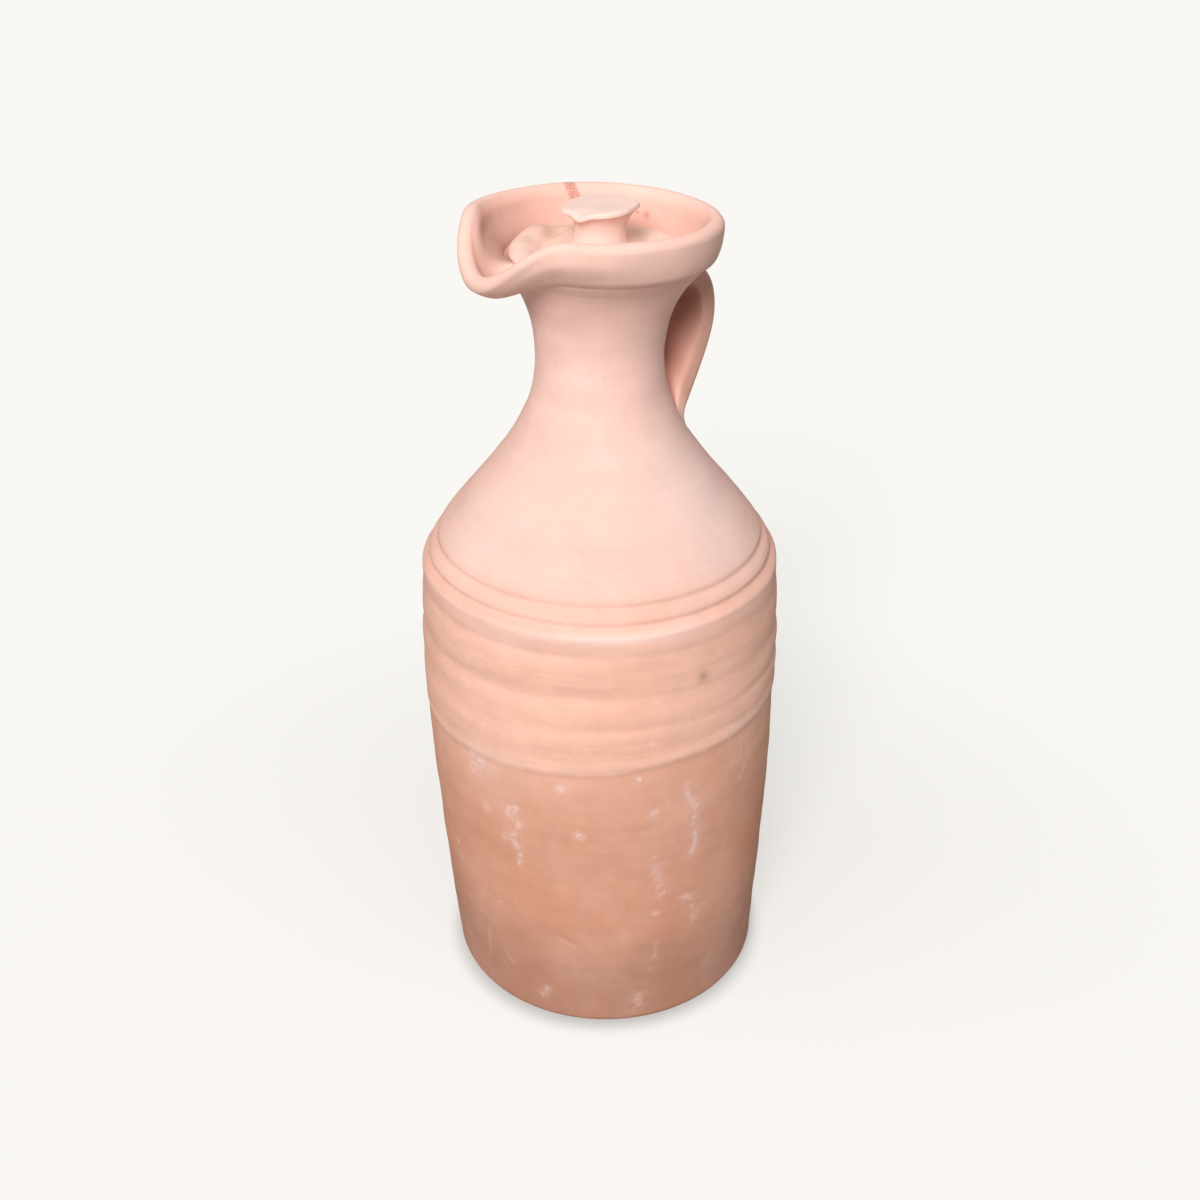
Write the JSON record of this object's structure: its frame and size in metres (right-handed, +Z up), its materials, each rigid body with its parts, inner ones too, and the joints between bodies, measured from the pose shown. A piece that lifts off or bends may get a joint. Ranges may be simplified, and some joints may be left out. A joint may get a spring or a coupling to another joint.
{
  "type": "terracotta water jar",
  "caption": "Tall unglazed clay water jar with a ringed wall, narrow neck, pinched pouring spout, strap handle and a loose inset lid with a knob.",
  "frame": {"origin": "centre of the flat foot, on the surface that the jar stands on", "axes": "+Z up along the jar's axis, -X towards the spout, +X towards the handle"},
  "size_m": [0.1738, 0.1738, 0.3998],
  "materials": {
    "turned_clay": "unglazed, scraped smooth, matte",
    "ringed_clay": "unglazed, thrown rings, matte",
    "pale_clay": "unglazed, smooth, matte",
    "collar_clay": "unglazed, smooth, matte",
    "handle_clay": "unglazed, pulled by hand, matte",
    "lid_clay": "unglazed, matte",
    "knob_clay": "unglazed, matte"
  },
  "bodies": {
    "jar": {"lower_body": "turned_clay", "upper_body": "ringed_clay", "shoulder_neck": "pale_clay", "pouring_collar": "collar_clay", "handle": "handle_clay"},
    "lid": {"lid_plate": "lid_clay", "lid_knob": "knob_clay"}
  },
  "joints": [
    {"name": "lid_lift", "type": "slide", "parent": "jar", "child": "lid", "axis": [0, 0, 1], "range_m": [0, 0.09]}
  ]
}
